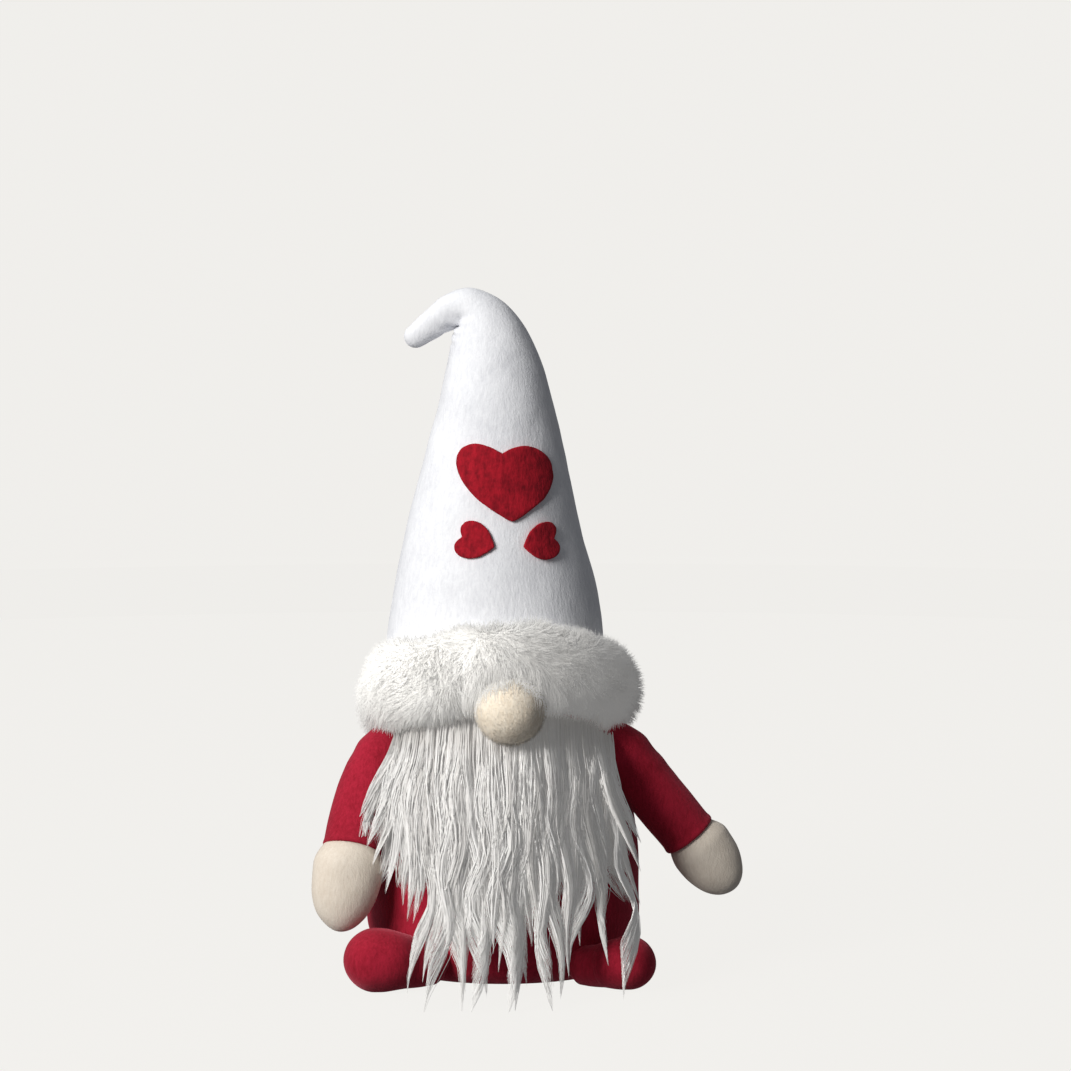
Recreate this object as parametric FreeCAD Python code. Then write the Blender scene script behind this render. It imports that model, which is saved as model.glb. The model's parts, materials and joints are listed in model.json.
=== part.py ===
"""Tomte gnome figurine: a stuffed fabric gnome in a tall felt hat.

Millimetres. +Z is up, the gnome faces -Y, and its own right side is -X. The origin is on the
floor, under the middle of the flat base. Each sewn or stuffed piece is a solid of its own.
"""
import FreeCAD
import Part
import math
import os

Vector = FreeCAD.Vector
X_AXIS = Vector(1, 0, 0)
Y_AXIS = Vector(0, 1, 0)
Z_AXIS = Vector(0, 0, 1)

# ---- driving dimensions ----
FLEECE = 1.4              # thickness of the red fleece
FELT = 1.8                # thickness of the hat's felt
MITT_FELT = 1.2
CLEAR = 0.4               # gap between pieces that move against each other
NIB = 1.0                 # radius of the small flat where a stuffed shape's end closes

BODY_WIDTH = 120.0        # widest, low on the sack
BODY_DEPTH = 100.0
BODY_TOP = 122.0          # inside the hat
CARD_THICK = 1.2
POUCH_RADIUS = 36.0
POUCH_HEIGHT = 15.0
POUCH_CLOTH = 0.6

FOOT_LENGTH = 41.0        # from side to side: the feet are short bolsters
FOOT_SETTLE = 0.6         # how far a foot is pressed flat against the floor
RIGHT_FOOT_HEIGHT = 27.6
LEFT_FOOT_HEIGHT = 23.0
RIGHT_FOOT_CENTRE = (-47.5, -53.0)
LEFT_FOOT_CENTRE = (45.5, -50.0)

SHOULDER = (43.5, -8.0, 101.5)    # the left one; the right one is mirrored
RIGHT_WRIST = (-65.5, -33.0, 57.5)
LEFT_WRIST = (81.9, -6.0, 59.4)
SLEEVE_RADIUS = 12.3
SLEEVE_OVER_TAB = 6.0     # how far the sleeve's closed end reaches past its pivot
TAB_RADIUS = 4.5
RIGHT_HAND_LENGTH = 36.0
LEFT_HAND_LENGTH = 32.0
RIGHT_HAND_AIM = (-0.14, -0.30, -0.94)
LEFT_HAND_AIM = (0.64, -0.08, -0.76)
HAND_IN_CUFF = 3.0        # how far a mitt's open end reaches back towards the sleeve
HAND_HALF_WIDTH = 14.6
RIGHT_RAISE = (0, 15, 30)         # degrees at which each arm must clear what it lies against
RIGHT_SWING = (0, 18, 36)
LEFT_RAISE = (-8, 6, 20)
LEFT_SWING = (-20, 0, 20, 40)

NOSE_RADIUS = 14.7
NOSE_CENTRE = (3.5, -57.0, 121.8)
NOSE_BUTTON_RADIUS = 5.0

HAT_DEPTH_RATIO = 0.94
TIP_PIVOT = (-18.0, 0.0, 291.4)
TIP_BALL = 8.4
TIP_DIRECTION = (-0.852, 0.0, -0.524)
TIP_LENGTH = 29.0

BRIM_CENTRE = (-2.7, 0.0, 124.5)
BRIM_TILT = -12.0         # degrees about X: the front of the brim is the high side
BRIM_CLOTH = 0.9
BRIM_HEIGHT = 31.0
BRIM_OUTER = 63.4

BEARD_TOP = 111.0
BEARD_HINGE = (0.0, -30.0, 112.0)
BEARD_CLOTH = 1.0
BEARD_LIFT = 30.0         # degrees

HEART_FELT = 1.8
HEART_LARGE = {"width": 40.0, "height": 32.5, "centre": (1.0, 216.3), "turn": 2.0}
HEART_RIGHT = {"width": 17.5, "height": 17.5, "centre": (-10.8, 190.8), "turn": 68.0}
HEART_LEFT = {"width": 17.5, "height": 15.5, "centre": (15.8, 190.6), "turn": -76.0}

# half width of the body at each height, and of the hat at each ring of its centre line
BODY_PROFILE = [(0, 50), (7, 57), (18, 59.7), (34, 60), (52, 59.6), (72, 57), (87, 51.5),
                (101, 43.8), (112, 37), (BODY_TOP, 30)]
HAT_RINGS = [  # centre x, centre z, half width, degrees turned towards -X, degrees tipped back
    (-2.7, 114, 48.5, 0, 12), (-3.4, 141, 48.0, 0, 4), (-3.6, 163, 46.0, 0, 0),
    (-4.0, 194, 38.4, 0, 0), (-3.0, 225, 31.2, 0, 0), (-2.8, 240, 27.5, 0, 0),
    (-3.1, 254, 23.9, 0, 0), (-3.8, 267, 20.3, 0, 0), (-5.6, 278, 16.7, 8, 0),
    (-9.5, 286, 13.0, 25, 0), (-14.3, 290.3, 9.8, 55, 0), (-18.0, 291.4, 8.3, 85, 0)]


# ---- helpers ----
def ellipse_ring(centre, half_x, half_y, about_y=0.0, about_x=0.0):
    """A closed ellipse, turned about Y and then X, with its seam on its +X side."""
    ring = Part.Wire([Part.Ellipse(Vector(0, 0, 0), max(half_x, half_y), min(half_x, half_y)).toShape()])
    if half_y > half_x:
        ring.rotate(Vector(0, 0, 0), Z_AXIS, 90)
    ring.rotate(Vector(0, 0, 0), Y_AXIS, about_y)
    ring.rotate(Vector(0, 0, 0), X_AXIS, about_x)
    ring.translate(Vector(*centre))
    return ring


def loft(rings):
    return Part.makeLoft(rings, True, False)


def turned(outline):
    """A solid of revolution about Z. outline runs from the bottom to the top as (radius, height)
    points, three to an arc; an end that is off the axis is closed by a flat."""
    points = [Vector(r, 0, z) for r, z in outline]
    edges = [Part.Arc(*points[i:i + 3]).toShape() for i in range(0, len(points) - 2, 2)]
    low = Vector(0, 0, points[0].z)
    high = Vector(0, 0, points[-1].z)
    if points[-1].x > 0:
        edges.append(Part.LineSegment(points[-1], high).toShape())
    edges.append(Part.LineSegment(high, low).toShape())
    if points[0].x > 0:
        edges.append(Part.LineSegment(low, points[0]).toShape())
    return Part.Face(Part.Wire(edges)).revolve(Vector(0, 0, 0), Z_AXIS, 360)


def ball(centre, radius):
    return Part.makeSphere(radius, Vector(*centre))


def bolster(length, radius):
    """A round-ended roll along X, about the origin."""
    half = length / 2 - radius
    roll = Part.makeCylinder(radius, 2 * half, Vector(-half, 0, 0), X_AXIS)
    return roll.fuse(ball((-half, 0, 0), radius)).fuse(ball((half, 0, 0), radius)).removeSplitter()


def without(shape, tools):
    for tool in tools:
        shape = shape.cut(tool)
    return shape


def rotated(shape, about, axis, degrees):
    copy = shape.copy()
    copy.rotate(Vector(*about), axis, degrees)
    return copy


def box(low, high):
    size = [h - l for l, h in zip(low, high)]
    return Part.makeBox(*size, Vector(*low))


def aimed(shape, origin, direction):
    """Turn a shape built along +Z so that it points along direction, from origin."""
    copy = shape.copy()
    turn = FreeCAD.Rotation(Z_AXIS, Vector(*direction))
    copy.Placement = FreeCAD.Placement(Vector(*origin), turn)
    return copy


# ---- body ----
def body_solid(grow=0.0):
    """The sack's outer shape, grown or shrunk all round; its ends stay in their planes."""
    rings = [ellipse_ring((0, 0, z), half + grow, half * BODY_DEPTH / BODY_WIDTH + grow)
             for z, half in BODY_PROFILE]
    return loft(rings)


def make_body(shoulders):
    outer = body_solid()
    hollow = body_solid(-FLEECE).common(box((-90, -90, 0), (90, 90, BODY_TOP - FLEECE)))
    sockets = [rotated(ball(centre, TAB_RADIUS + CLEAR), centre, Y_AXIS, 90) for centre in shoulders]
    panel_ring = ellipse_ring((0, 0, 0), 50 - FLEECE, 50 * BODY_DEPTH / BODY_WIDTH - FLEECE)
    panel_face = Part.Face(panel_ring)
    panel = panel_face.extrude(Vector(0, 0, FLEECE))
    card_ring = ellipse_ring((0, 0, FLEECE), 50 - 3, 50 * BODY_DEPTH / BODY_WIDTH - 3)
    card = Part.Face(card_ring).extrude(Vector(0, 0, CARD_THICK))
    pouch = pouch_shape(0)
    pellets = pouch_shape(POUCH_CLOTH)
    stuffing = hollow.cut(panel).cut(card).cut(pouch)
    return {
        "body_cover": without(outer.cut(hollow), sockets),
        "base_panel": panel,
        "base_card": card,
        "weight_bag": pouch.cut(pellets),
        "weight_pellets": pellets,
        "body_stuffing": without(stuffing, sockets),
    }


def pouch_shape(inset):
    """The low round bag of pellets on the card, or with an inset what it holds."""
    low = FLEECE + CARD_THICK + inset
    high = FLEECE + CARD_THICK + POUCH_HEIGHT - inset
    wide = POUCH_RADIUS - inset
    middle = low + 0.35 * (high - low)
    return turned([(wide * 0.86, low), (wide * 0.97, low + 0.14 * (high - low)), (wide, middle),
                   (wide * 0.86, low + 0.72 * (high - low)), (wide * 0.6, high)])


def make_foot(side, centre, height):
    """A short stuffed roll, flat where it stands and open where it is sewn to the sack."""
    sack = body_solid()
    middle = Vector(centre[0], centre[1], height / 2 - FOOT_SETTLE)
    outer = bolster(FOOT_LENGTH, height / 2 + FOOT_SETTLE)
    inner = bolster(FOOT_LENGTH - 2 * FLEECE, height / 2 + FOOT_SETTLE - FLEECE)
    outer.translate(middle)
    inner.translate(middle)
    outer = outer.common(box((-90, -110, 0), (90, 90, 60))).cut(sack)
    inner = inner.common(box((-90, -110, FLEECE), (90, 90, 60))).cut(sack)
    return {f"{side}_foot_cover": outer.cut(inner), f"{side}_foot_stuffing": inner}


# ---- arms ----
def sleeve_shape(length, inset):
    wide = SLEEVE_RADIUS - inset
    top = inset - SLEEVE_OVER_TAB
    return turned([(NIB, top), (wide * 0.42, top + 2), (wide * 0.72, 6), (wide * 0.93, 14),
                   (wide, 24), (wide, (24 + length) / 2), (wide * 0.995, length)])


def hand_shape(length, inset):
    cuff = SLEEVE_RADIUS - inset
    wide = HAND_HALF_WIDTH - inset
    tip = length - inset
    return turned([(cuff, 0), (wide, tip * 0.36), (wide * 0.86, tip * 0.7),
                   (wide * 0.56, tip * 0.91), (NIB, tip)])


def arm_poses(side):
    """The pairs of turns, about X and then Y, that bring the torso into the arm's own frame."""
    if side == "right":
        return [(swing, -lift) for swing in RIGHT_SWING for lift in RIGHT_RAISE]
    return [(swing, lift) for swing in LEFT_SWING for lift in LEFT_RAISE]


def make_arm(side, shoulder, wrist, hand_length, hand_aim):
    """Sleeve and mitt along the line from the shoulder to the wrist, cut clear of the sack
    that they lie against in every pose of the arm."""
    along = Vector(*wrist) - Vector(*shoulder)
    aim = Vector(*hand_aim)
    length = along.Length
    sack = body_solid(CLEAR)
    blockers = [ball(shoulder, TAB_RADIUS + CLEAR)]
    for swing, lift in arm_poses(side):
        blockers.append(rotated(rotated(sack, shoulder, X_AXIS, swing), shoulder, Y_AXIS, lift))
    whole = aimed(sleeve_shape(length, 0), shoulder, along)
    sleeve_outer = without(whole, blockers)
    sleeve_inner = without(aimed(sleeve_shape(length, FLEECE), shoulder, along), blockers)
    start = Vector(*wrist) - aim.multiply(1 / aim.Length) * HAND_IN_CUFF
    hand_outer = aimed(hand_shape(hand_length + HAND_IN_CUFF, 0), start, aim).cut(whole)
    hand_inner = aimed(hand_shape(hand_length + HAND_IN_CUFF, MITT_FELT), start, aim).cut(whole)
    return {
        f"{side}_sleeve": sleeve_outer.cut(sleeve_inner),
        f"{side}_arm_stuffing": sleeve_inner,
        f"{side}_hand_cover": hand_outer.cut(hand_inner),
        f"{side}_hand_stuffing": hand_inner,
        f"{side}_shoulder_tab": ball(shoulder, TAB_RADIUS),
    }


def sleeve_sweep(side, shoulder, wrist):
    """The sleeve, a little grown, in each of its poses."""
    along = Vector(*wrist) - Vector(*shoulder)
    sleeve = aimed(sleeve_shape(along.Length, -CLEAR), shoulder, along)
    return [rotated(rotated(sleeve, shoulder, Y_AXIS, -lift), shoulder, X_AXIS, -swing)
            for swing, lift in arm_poses(side)]


# ---- hat ----
def hat_solid(grow=0.0):
    """The felt cone's outer shape, bent over at the top, grown or shrunk all round."""
    rings = [ellipse_ring((x, 0, z), half + grow, half * HAT_DEPTH_RATIO + grow, -over, -back)
             for x, z, half, over, back in HAT_RINGS]
    return loft(rings).fuse(ball(TIP_PIVOT, TIP_BALL + grow))


def make_hat():
    outer = hat_solid()
    inner = hat_solid(-FELT)
    return outer, {"hat_cover": outer.cut(inner), "hat_stuffing": inner.cut(body_solid())}


def tip_shape(inset):
    end = TIP_LENGTH - inset
    return turned([(8.2 - inset, 2), (7.35 - inset, 11), (6.2 - inset, 20), (4.4 - inset, 26),
                   (NIB, end)])


def make_hat_tip(hat_outer):
    socket = ball(TIP_PIVOT, TIP_BALL + CLEAR)
    keep_off = hat_solid(CLEAR)
    blockers = [socket, hat_outer]
    for unfold in (0, 15, 30, 45, 60, 75, 90):
        blockers.append(rotated(keep_off, TIP_PIVOT, Y_AXIS, -unfold))
    outer = without(aimed(tip_shape(0), TIP_PIVOT, TIP_DIRECTION), blockers)
    inner = without(aimed(tip_shape(MITT_FELT), TIP_PIVOT, TIP_DIRECTION), blockers)
    return {"hat_tip_cover": outer.cut(inner), "hat_tip_stuffing": inner}


def brim_band(points):
    """A band round the hat, from (height, half width) pairs in the brim's own tipped frame."""
    rings = []
    tip = math.radians(BRIM_TILT)
    for height, half in points:
        centre = (BRIM_CENTRE[0], -height * math.sin(tip), BRIM_CENTRE[2] + height * math.cos(tip))
        rings.append(ellipse_ring(centre, half, half * HAT_DEPTH_RATIO, 0, BRIM_TILT))
    return loft(rings)


def brim_outside():
    """The whole outline of the plush brim, filled."""
    half = BRIM_HEIGHT / 2
    return brim_band([(-half, BRIM_OUTER * 0.86), (-half * 0.7, BRIM_OUTER * 0.95),
                      (0, BRIM_OUTER), (half * 0.6, BRIM_OUTER * 0.97), (half, BRIM_OUTER * 0.86)])


def make_brim(hat_outer, nose, sleeves):
    half = BRIM_HEIGHT / 2
    cloth = hat_solid(BRIM_CLOTH)
    core = brim_band([(-half, 47.0), (half, 47.0)])
    backing = brim_band([(2 - half, 80.0), (half - 2, 80.0)]).common(cloth).cut(hat_outer).cut(core)
    pile = without(brim_outside(), [cloth, core, nose, body_solid()] + sleeves)
    return {"brim_backing": backing.cut(nose), "brim_pile": pile.cut(backing)}


def nearest_front(shape):
    """The solid of a shape that lies furthest towards the front."""
    return min(shape.Solids, key=lambda solid: solid.CenterOfMass.y)


def make_nose(hat_outer):
    """A felted ball, sewn on through a felt button that is sunk in its back."""
    back = Vector(NOSE_CENTRE[0], NOSE_CENTRE[1] + 5, NOSE_CENTRE[2])
    button = Part.makeCylinder(NOSE_BUTTON_RADIUS, 8, back, Y_AXIS).cut(hat_outer)
    nose = ball(NOSE_CENTRE, NOSE_RADIUS).cut(hat_outer)
    return {"nose_ball": nose.cut(button), "nose_button": nearest_front(button)}


# ---- hearts ----
def heart_outline(width, height):
    """Two round lobes and two slightly full flanks; the notch is above the origin."""
    top = height * 0.5
    notch = Vector(0, 0, top * 0.68)
    tip = Vector(0, 0, -top)
    edges = []
    for side in (-1, 1):
        crown = Vector(side * width * 0.26, 0, top)
        flank = Vector(side * width * 0.5, 0, top * 0.28)
        belly = Vector(side * width * 0.335, 0, -top * 0.36)
        edges.append(Part.Arc(notch, crown, flank).toShape())
        edges.append(Part.Arc(flank, belly, tip).toShape())
    return Part.Face(Part.Wire(Part.__sortEdges__(edges)))


def make_heart(size, hat_outer, felt_shell):
    """A felt heart bent round the front of the hat. turn leans its point towards +X."""
    face = heart_outline(size["width"], size["height"])
    face.rotate(Vector(0, 0, 0), Y_AXIS, -size["turn"])
    face.translate(Vector(size["centre"][0], -60, size["centre"][1]))
    return face.extrude(Vector(0, 55, 0)).common(felt_shell)


# ---- beard ----
def make_beard(nose):
    """Fur fabric sewn on along its top edge, with long fibre that reaches the floor."""
    front = box((-41, -100, 0.6), (41, -27, BEARD_TOP))
    lying = body_solid(CLEAR + BEARD_CLOTH)
    backing = lying.cut(body_solid(CLEAR)).common(box((-38, -100, 56), (38, -27, BEARD_TOP)))
    rings = [  # height, middle of the ellipse from front to back, half width, half depth
        (0.6, -55, 22, 29), (14, -52, 23, 30), (27, -46, 26, 30), (36, -42, 36, 30),
        (56, -36, 41, 31), (80, -31, 41, 31), (98, -27, 39, 29), (BEARD_TOP, -24, 34, 24)]
    pile = loft([ellipse_ring((0, y, z), rx, ry) for z, y, rx, ry in rings])
    pile = pile.common(front).cut(lying)
    for lift in (0, BEARD_LIFT / 3, BEARD_LIFT * 2 / 3, BEARD_LIFT):
        for blocker in (ball(NOSE_CENTRE, NOSE_RADIUS + 2 * CLEAR), brim_outside()):
            pile = pile.cut(rotated(blocker, BEARD_HINGE, X_AXIS, lift))
    for centre, height in ((RIGHT_FOOT_CENTRE, RIGHT_FOOT_HEIGHT), (LEFT_FOOT_CENTRE, LEFT_FOOT_HEIGHT)):
        roll = bolster(FOOT_LENGTH + 2 * CLEAR, height / 2 + FOOT_SETTLE + CLEAR)
        roll.translate(Vector(centre[0], centre[1], height / 2 - FOOT_SETTLE))
        pile = pile.cut(roll)
    return {"beard_backing": backing, "beard_pile": pile}


def main():
    left = SHOULDER
    right = (-SHOULDER[0], SHOULDER[1], SHOULDER[2])
    parts = make_body((right, left))
    parts.update(make_foot("right", RIGHT_FOOT_CENTRE, RIGHT_FOOT_HEIGHT))
    parts.update(make_foot("left", LEFT_FOOT_CENTRE, LEFT_FOOT_HEIGHT))
    parts.update(make_arm("right", right, RIGHT_WRIST, RIGHT_HAND_LENGTH, RIGHT_HAND_AIM))
    parts.update(make_arm("left", left, LEFT_WRIST, LEFT_HAND_LENGTH, LEFT_HAND_AIM))
    hat_outer, hat_parts = make_hat()
    parts.update(hat_parts)
    parts.update(make_hat_tip(hat_outer))
    nose = ball(NOSE_CENTRE, NOSE_RADIUS)
    parts.update(make_nose(hat_outer))
    sleeves = sleeve_sweep("right", right, RIGHT_WRIST) + sleeve_sweep("left", left, LEFT_WRIST)
    parts.update(make_brim(hat_outer, nose.fuse(parts["nose_button"]), sleeves))
    felt_shell = hat_solid(HEART_FELT).cut(hat_outer)
    for name, size in (("heart_large", HEART_LARGE), ("heart_small_right", HEART_RIGHT),
                       ("heart_small_left", HEART_LEFT)):
        parts[name] = make_heart(size, hat_outer, felt_shell)
    parts.update(make_beard(nose))

    os.makedirs("parts", exist_ok=True)
    for name, shape in parts.items():
        shape.exportStep(f"parts/{name}.step")
        print(name, len(shape.Solids), round(shape.Volume), shape.isValid())


main()
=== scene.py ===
import json
import math

import bpy
import numpy as np
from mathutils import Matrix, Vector
from mathutils.bvhtree import BVHTree


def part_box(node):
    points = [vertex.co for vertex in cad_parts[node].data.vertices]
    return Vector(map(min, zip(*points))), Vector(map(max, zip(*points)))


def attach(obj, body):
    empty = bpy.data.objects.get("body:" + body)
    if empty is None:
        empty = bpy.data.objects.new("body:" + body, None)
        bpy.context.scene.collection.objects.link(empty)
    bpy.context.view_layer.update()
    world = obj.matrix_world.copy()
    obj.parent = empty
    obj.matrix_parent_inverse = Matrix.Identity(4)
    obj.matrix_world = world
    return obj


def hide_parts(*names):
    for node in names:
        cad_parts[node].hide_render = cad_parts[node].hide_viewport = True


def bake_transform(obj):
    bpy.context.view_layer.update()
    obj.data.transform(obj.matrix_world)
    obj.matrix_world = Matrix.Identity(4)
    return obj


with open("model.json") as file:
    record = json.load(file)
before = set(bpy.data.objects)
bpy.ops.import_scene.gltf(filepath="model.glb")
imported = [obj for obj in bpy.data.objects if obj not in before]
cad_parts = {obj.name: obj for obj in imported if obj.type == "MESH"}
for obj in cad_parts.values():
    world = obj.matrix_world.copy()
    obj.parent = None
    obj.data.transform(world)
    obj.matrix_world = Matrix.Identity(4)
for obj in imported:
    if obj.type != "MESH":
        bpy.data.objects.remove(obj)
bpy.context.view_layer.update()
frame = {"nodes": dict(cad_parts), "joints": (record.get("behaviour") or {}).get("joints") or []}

MM = 0.001
FULL_TURN = 2 * math.pi
CLEAR_OF_FLOOR = 0.2 * MM
RING_COLUMNS = 96
FRONT = np.array([0.0, -1.0, 0.0])
SIDEWAYS = np.array([1.0, 0, 0])
JOINTS = {joint["name"]: joint for joint in frame["joints"]}


# ---- numbers shared by several pieces, read from the frame ----
def box_of(node):
    low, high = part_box(node)
    return np.array(low), np.array(high)


def pivot_of(joint):
    return np.array(JOINTS[joint]["pos_m"])


BODY_LOW, BODY_HIGH = box_of("body_cover")
HAT_LOW, HAT_HIGH = box_of("hat_cover")
BRIM_LOW, BRIM_HIGH = box_of("brim_pile")
BEARD_LOW, BEARD_HIGH = box_of("beard_pile")
NOSE_LOW, NOSE_HIGH = box_of("nose_ball")
NOSE_CENTRE = (NOSE_LOW + NOSE_HIGH) / 2
NOSE_RADIUS = (NOSE_HIGH[0] - NOSE_LOW[0]) / 2
BODY_HALF = (BODY_HIGH - BODY_LOW) / 2
TIP_PIVOT = pivot_of("hat_tip_unfold")


# ---- small tools ----
def noise(points, wavelength, seed):
    """Smooth value noise from -1 to 1 at each point."""
    size = 32
    lattice = np.random.default_rng(seed).uniform(-1, 1, (size, size, size))
    place = np.asarray(points) / wavelength + 57.3
    cell = np.floor(place).astype(int)
    part = place - cell
    part = part * part * (3 - 2 * part)
    total = 0
    for corner in np.ndindex(2, 2, 2):
        share = np.ones(place.shape[:-1])
        for axis in range(3):
            share = share * (part[..., axis] if corner[axis] else 1 - part[..., axis])
        spot = (cell + corner) % size
        total = total + share * lattice[spot[..., 0], spot[..., 1], spot[..., 2]]
    return total


def through(keys, count):
    """Rows of key values, joined by a smooth curve and sampled count times."""
    keys = np.asarray(keys, float)
    padded = np.vstack([2 * keys[0] - keys[1], keys, 2 * keys[-1] - keys[-2]])
    spot = np.linspace(0, len(keys) - 1 - 1e-9, count)
    step = spot.astype(int)
    t = (spot - step)[:, None]
    a, b, c, d = (padded[step + k] for k in range(4))
    return 0.5 * (2 * b + (c - a) * t + (2 * a - 5 * b + 4 * c - d) * t**2 + (3 * b - 3 * c + d - a) * t**3)


def unit(vectors):
    return vectors / np.maximum(np.linalg.norm(vectors, axis=-1, keepdims=True), 1e-12)


def smooth_step(low, high, value):
    t = np.clip((value - low) / (high - low), 0, 1)
    return t * t * (3 - 2 * t)


def turn_angles(count):
    """Even angles round a full turn."""
    return np.linspace(0, FULL_TURN, count, endpoint=False)


def mesh_object(name, points, quads, tris=None):
    """A mesh object whose faces look outwards, if they close a volume."""
    points = np.asarray(points, float)
    tris = np.zeros((0, 3), int) if tris is None else np.asarray(tris)
    quads = np.asarray(quads).reshape(-1, 4)
    halves = np.vstack([quads[:, :3], quads[:, [0, 2, 3]], tris])
    a, b, c = (points[halves[:, k]] - points.mean(0) for k in range(3))
    if (a * np.cross(b, c)).sum() < 0:
        quads, tris = quads[:, ::-1], tris[:, ::-1]
    mesh = bpy.data.meshes.new(name)
    mesh.vertices.add(len(points))
    mesh.vertices.foreach_set("co", np.asarray(points, np.float32).ravel())
    loops = np.concatenate([quads.ravel(), tris.ravel()]).astype(np.int32)
    sizes = np.concatenate([np.full(len(quads), 4), np.full(len(tris), 3)])
    mesh.loops.add(len(loops))
    mesh.loops.foreach_set("vertex_index", loops)
    mesh.polygons.add(len(sizes))
    mesh.polygons.foreach_set("loop_start", (np.cumsum(sizes) - sizes).astype(np.int32))
    mesh.polygons.foreach_set("use_smooth", np.ones(len(sizes), bool))
    mesh.update(calc_edges=True)
    mesh.validate()
    thing = bpy.data.objects.new(name, mesh)
    bpy.context.scene.collection.objects.link(thing)
    return thing


def grid_faces(rows, columns):
    """Quads of a grid whose rows are closed loops."""
    r, c = np.meshgrid(np.arange(rows - 1), np.arange(columns), indexing="ij")
    here = r * columns + c
    side = r * columns + (c + 1) % columns
    return np.stack([here, side, side + columns, here + columns], -1).reshape(-1, 4)


def skin(name, rings):
    """A closed skin over rings of points, with each end drawn together at its middle."""
    rows, columns = rings.shape[:2]
    points = np.vstack([rings.reshape(-1, 3), rings[0].mean(0), rings[-1].mean(0)])
    around = np.arange(columns)
    ahead = (around + 1) % columns
    first = np.stack([ahead, around, np.full(columns, rows * columns)], -1)
    last_row = (rows - 1) * columns
    last = np.stack([around + last_row, ahead + last_row, np.full(columns, rows * columns + 1)], -1)
    return mesh_object(name, points, grid_faces(rows, columns), np.vstack([first, last]))


def ring_normals(rings):
    """Outward normals of a grid of rings."""
    along = np.gradient(rings, axis=0)
    around = np.roll(rings, -1, axis=1) - np.roll(rings, 1, axis=1)
    return unit(np.cross(around, along))


def tube_rings(path, half_wide, half_deep, wide_way, columns=RING_COLUMNS):
    """Rings round a path. wide_way is roughly the direction that half_wide is measured along."""
    tangent = unit(np.gradient(path, axis=0))
    deep = unit(np.cross(tangent, wide_way))
    wide = np.cross(deep, tangent)
    angle = turn_angles(columns)
    return (path[:, None]
            + wide[:, None] * (np.cos(angle) * half_wide[:, None])[..., None]
            + deep[:, None] * (np.sin(angle) * half_deep[:, None])[..., None])


def rounded(shares):
    """Half widths of a shape that closes smoothly at share 1, as parts of its full half width."""
    return np.clip(1 - shares**2.0, 0, 1) ** 0.5


# ---- materials ----
class Shader:
    """A node material with one Principled shader, built a node at a time."""

    def __init__(self, name, **sockets):
        self.material = bpy.data.materials.new(name)
        self.material.use_nodes = True
        self.nodes = self.material.node_tree.nodes
        self.links = self.material.node_tree.links
        self.surface = self.nodes["Principled BSDF"]
        for socket, value in sockets.items():
            self.surface.inputs[socket.replace("_", " ")].default_value = value
        self.place = self.add("ShaderNodeTexCoord").outputs["Object"]

    def add(self, kind, links=None, **values):
        node = self.nodes.new(kind)
        for key, value in values.items():
            setattr(node, key, value)
        for socket, source in (links or {}).items():
            if hasattr(source, "links"):
                self.links.new(source, node.inputs[socket])
            else:
                node.inputs[socket].default_value = source
        return node

    def noise(self, scale, detail=3.0, stretch=(1, 1, 1), rough=0.6):
        stretched = self.add("ShaderNodeMapping", {"Vector": self.place, "Scale": stretch})
        source = {"Vector": stretched.outputs[0], "Scale": scale, "Detail": detail, "Roughness": rough}
        return self.add("ShaderNodeTexNoise", source).outputs["Fac"]

    def ramp(self, value, stops):
        node = self.add("ShaderNodeValToRGB", {"Fac": value})
        ramp = node.color_ramp
        while len(ramp.elements) < len(stops):
            ramp.elements.new(0.5)
        for element, (position, colour) in zip(ramp.elements, stops):
            element.position = position
            element.color = (*colour, 1)
        return node.outputs["Color"]

    def mix(self, amount, first, second, how="MIX"):
        node = self.add("ShaderNodeMix", data_type="RGBA", blend_type=how)
        for socket, source in zip((node.inputs[0], node.inputs[6], node.inputs[7]), (amount, first, second)):
            if hasattr(source, "links"):
                self.links.new(source, socket)
            else:
                socket.default_value = source if isinstance(source, (int, float)) else (*source, 1)
        return node.outputs[2]

    def multiply(self, first, second):
        return self.add("ShaderNodeMath", {0: first, 1: second}, operation="MULTIPLY").outputs[0]

    def add_part(self, first, share, rest):
        """A share of the first value, added to the rest."""
        return self.add("ShaderNodeMath", {0: first, 1: share, 2: rest}, operation="MULTIPLY_ADD").outputs[0]

    def colour(self, source):
        self.links.new(source, self.surface.inputs["Base Color"])

    def roughness(self, low, high, value):
        links = {"Value": value, "To Min": low, "To Max": high}
        self.links.new(self.add("ShaderNodeMapRange", links).outputs[0], self.surface.inputs["Roughness"])

    def bump(self, height, strength, distance):
        links = {"Height": height, "Strength": strength, "Distance": distance}
        self.links.new(self.add("ShaderNodeBump", links).outputs[0], self.surface.inputs["Normal"])


def cloth_material(name, light, dark, fuzz, mottle, sheen, sheen_colour, bump=0.6):
    """Felt or fleece: fine fibre speckle over broad mottling, a soft sheen and a fibrous bump."""
    shader = Shader(name, Sheen_Weight=sheen, Sheen_Roughness=0.45, Specular_IOR_Level=0.15,
                    Sheen_Tint=(*sheen_colour, 1))
    fine = shader.noise(fuzz, 4)
    hairs = shader.noise(fuzz * 0.55, 2, (1, 1, 0.28), 0.7)
    broad = shader.noise(mottle, 3)
    speckle = shader.add_part(fine, 0.5, hairs)
    level = shader.add_part(broad, 0.5, shader.multiply(speckle, 0.55))
    shader.colour(shader.ramp(level, [(0.42, dark), (0.78, light)]))
    shader.roughness(0.82, 0.98, broad)
    shader.bump(shader.add_part(fine, 0.6, hairs), bump, 0.4 * MM)
    return shader.material


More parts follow.
